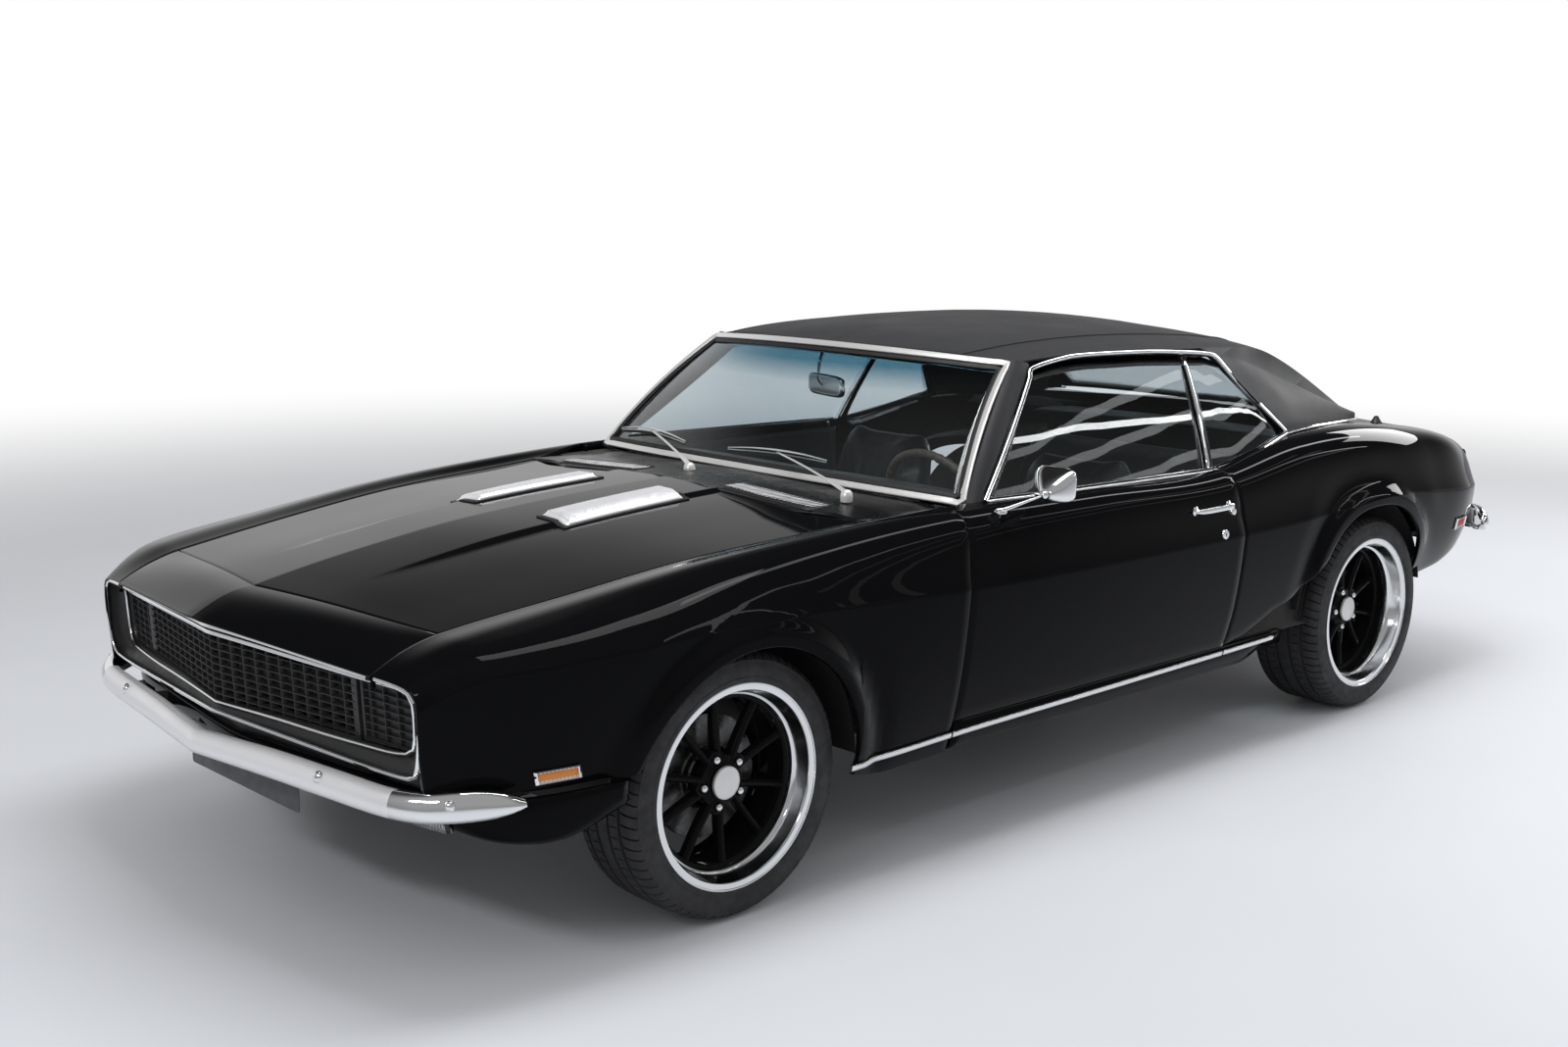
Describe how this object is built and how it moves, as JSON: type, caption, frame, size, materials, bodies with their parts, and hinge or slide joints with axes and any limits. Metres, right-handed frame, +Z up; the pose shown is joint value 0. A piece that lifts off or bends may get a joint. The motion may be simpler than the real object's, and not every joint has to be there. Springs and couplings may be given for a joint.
{
  "type": "two-door muscle car",
  "caption": "Two-door hardtop muscle car with a black body, vinyl roof, hidden headlamps, opening doors, hood and trunk, steered front wheels and rolling wheels.",
  "frame": {"origin": "on the ground under the middle of the car, halfway along its length", "axes": "+X forward, +Y to the driver's side on the left, +Z up"},
  "size_m": [4.691, 1.8463, 1.295],
  "materials": {
    "alloy": "polished with gloss black spokes",
    "black_paint": "gloss",
    "black_plastic": "matt",
    "chrome_trim": "polished",
    "clear_glass": "clear",
    "interior_trim": "satin",
    "iron": "matt",
    "lamp_glass": "clear",
    "marker_glass": "tinted",
    "satin_silver": "satin",
    "steel": "satin",
    "tail_glass": "tinted",
    "tyre_rubber": "matt",
    "underbody": "satin",
    "vinyl_roof": "grained satin"
  },
  "bodies": {
    "body": {"floor_pan": "underbody", "rocker_panels": "black_paint", "firewall": "underbody", "cowl_panel": "black_paint", "front_frame": "underbody", "radiator": "underbody", "front_fender_left": "black_paint", "front_fender_right": "black_paint", "nose_panel": "black_paint", "front_valance": "black_paint", "front_bumper": "chrome_trim", "rear_bumper": "chrome_trim", "quarter_panel_left": "black_paint", "quarter_panel_right": "black_paint", "tail_panel": "black_paint", "rear_deck_panel": "black_paint", "wheel_houses": "underbody", "roof": "vinyl_roof", "windshield": "clear_glass", "rear_window": "clear_glass", "quarter_windows": "clear_glass", "engine": "iron", "driveline": "iron", "rear_axle": "iron", "fuel_tank": "underbody", "exhaust": "steel", "grille": "black_plastic", "headlamps": "lamp_glass", "dashboard": "interior_trim", "front_seats": "interior_trim", "rear_seat": "interior_trim", "rear_bulkhead": "underbody", "cabin_mirror": "chrome_trim", "wipers": "satin_silver", "number_plates": "black_plastic", "tail_lamps": "tail_glass", "side_lamps": "marker_glass"},
    "hood": {"hood": "black_paint"},
    "trunk_lid": {"trunk_lid": "black_paint"},
    "door_left": {"door_left": "black_paint", "door_glass_left": "clear_glass", "door_mirror": "chrome_trim"},
    "door_right": {"door_right": "black_paint", "door_glass_right": "clear_glass"},
    "headlamp_door_left": {"headlamp_door_left": "black_plastic"},
    "headlamp_door_right": {"headlamp_door_right": "black_plastic"},
    "knuckle_left": {"knuckle_left": "iron"},
    "knuckle_right": {"knuckle_right": "iron"},
    "steering_wheel": {"steering_wheel": "black_plastic"},
    "wheel_front_left": {"tyre_front_left": "tyre_rubber", "rim_front_left": "alloy"},
    "wheel_front_right": {"tyre_front_right": "tyre_rubber", "rim_front_right": "alloy"},
    "wheel_rear_left": {"tyre_rear_left": "tyre_rubber", "rim_rear_left": "alloy"},
    "wheel_rear_right": {"tyre_rear_right": "tyre_rubber", "rim_rear_right": "alloy"}
  },
  "joints": [
    {"name": "steer_left", "type": "hinge", "parent": "body", "child": "knuckle_left", "pos_m": [1.415, 0.65, 0.32], "axis": [0, 0, 1], "range_deg": [-30, 30]},
    {"name": "steer_right", "type": "hinge", "parent": "body", "child": "knuckle_right", "pos_m": [1.415, -0.65, 0.32], "axis": [0, 0, 1], "range_deg": [-30, 30]},
    {"name": "steering_wheel_turn", "type": "hinge", "parent": "body", "child": "steering_wheel", "pos_m": [0.175, 0.375, 0.792], "axis": [-0.9135, 0, 0.4067], "range_deg": [-450, 450]},
    {"name": "spin_front_left", "type": "hinge", "parent": "knuckle_left", "child": "wheel_front_left", "pos_m": [1.415, 0.735, 0.32], "axis": [0, 1, 0], "continuous": true},
    {"name": "spin_front_right", "type": "hinge", "parent": "knuckle_right", "child": "wheel_front_right", "pos_m": [1.415, -0.735, 0.32], "axis": [0, 1, 0], "continuous": true},
    {"name": "spin_rear_left", "type": "hinge", "parent": "body", "child": "wheel_rear_left", "pos_m": [-1.331, 0.748, 0.32], "axis": [0, 1, 0], "continuous": true},
    {"name": "spin_rear_right", "type": "hinge", "parent": "body", "child": "wheel_rear_right", "pos_m": [-1.331, -0.748, 0.32], "axis": [0, 1, 0], "continuous": true},
    {"name": "door_left_hinge", "type": "hinge", "parent": "body", "child": "door_left", "pos_m": [0.6, 0.858, 0.565], "axis": [0, 0, -1], "range_deg": [0, 65]},
    {"name": "door_right_hinge", "type": "hinge", "parent": "body", "child": "door_right", "pos_m": [0.6, -0.858, 0.565], "axis": [0, 0, 1], "range_deg": [0, 65]},
    {"name": "hood_hinge", "type": "hinge", "parent": "body", "child": "hood", "pos_m": [0.9275, 0, 0.889], "axis": [0, -1, 0], "range_deg": [0, 50]},
    {"name": "trunk_hinge", "type": "hinge", "parent": "body", "child": "trunk_lid", "pos_m": [-1.6245, 0, 0.921], "axis": [0, 1, 0], "range_deg": [0, 70]},
    {"name": "headlamp_door_left_hinge", "type": "hinge", "parent": "body", "child": "headlamp_door_left", "pos_m": [2.106, 0.622, 0.575], "axis": [0, 0, -1], "range_deg": [0, 85]},
    {"name": "headlamp_door_right_hinge", "type": "hinge", "parent": "body", "child": "headlamp_door_right", "pos_m": [2.106, -0.622, 0.575], "axis": [0, 0, 1], "range_deg": [0, 85]}
  ],
  "couplings": [
    {"joint": "steer_right", "follows": "steer_left", "ratio": 1},
    {"joint": "steering_wheel_turn", "follows": "steer_left", "ratio": 15}
  ]
}
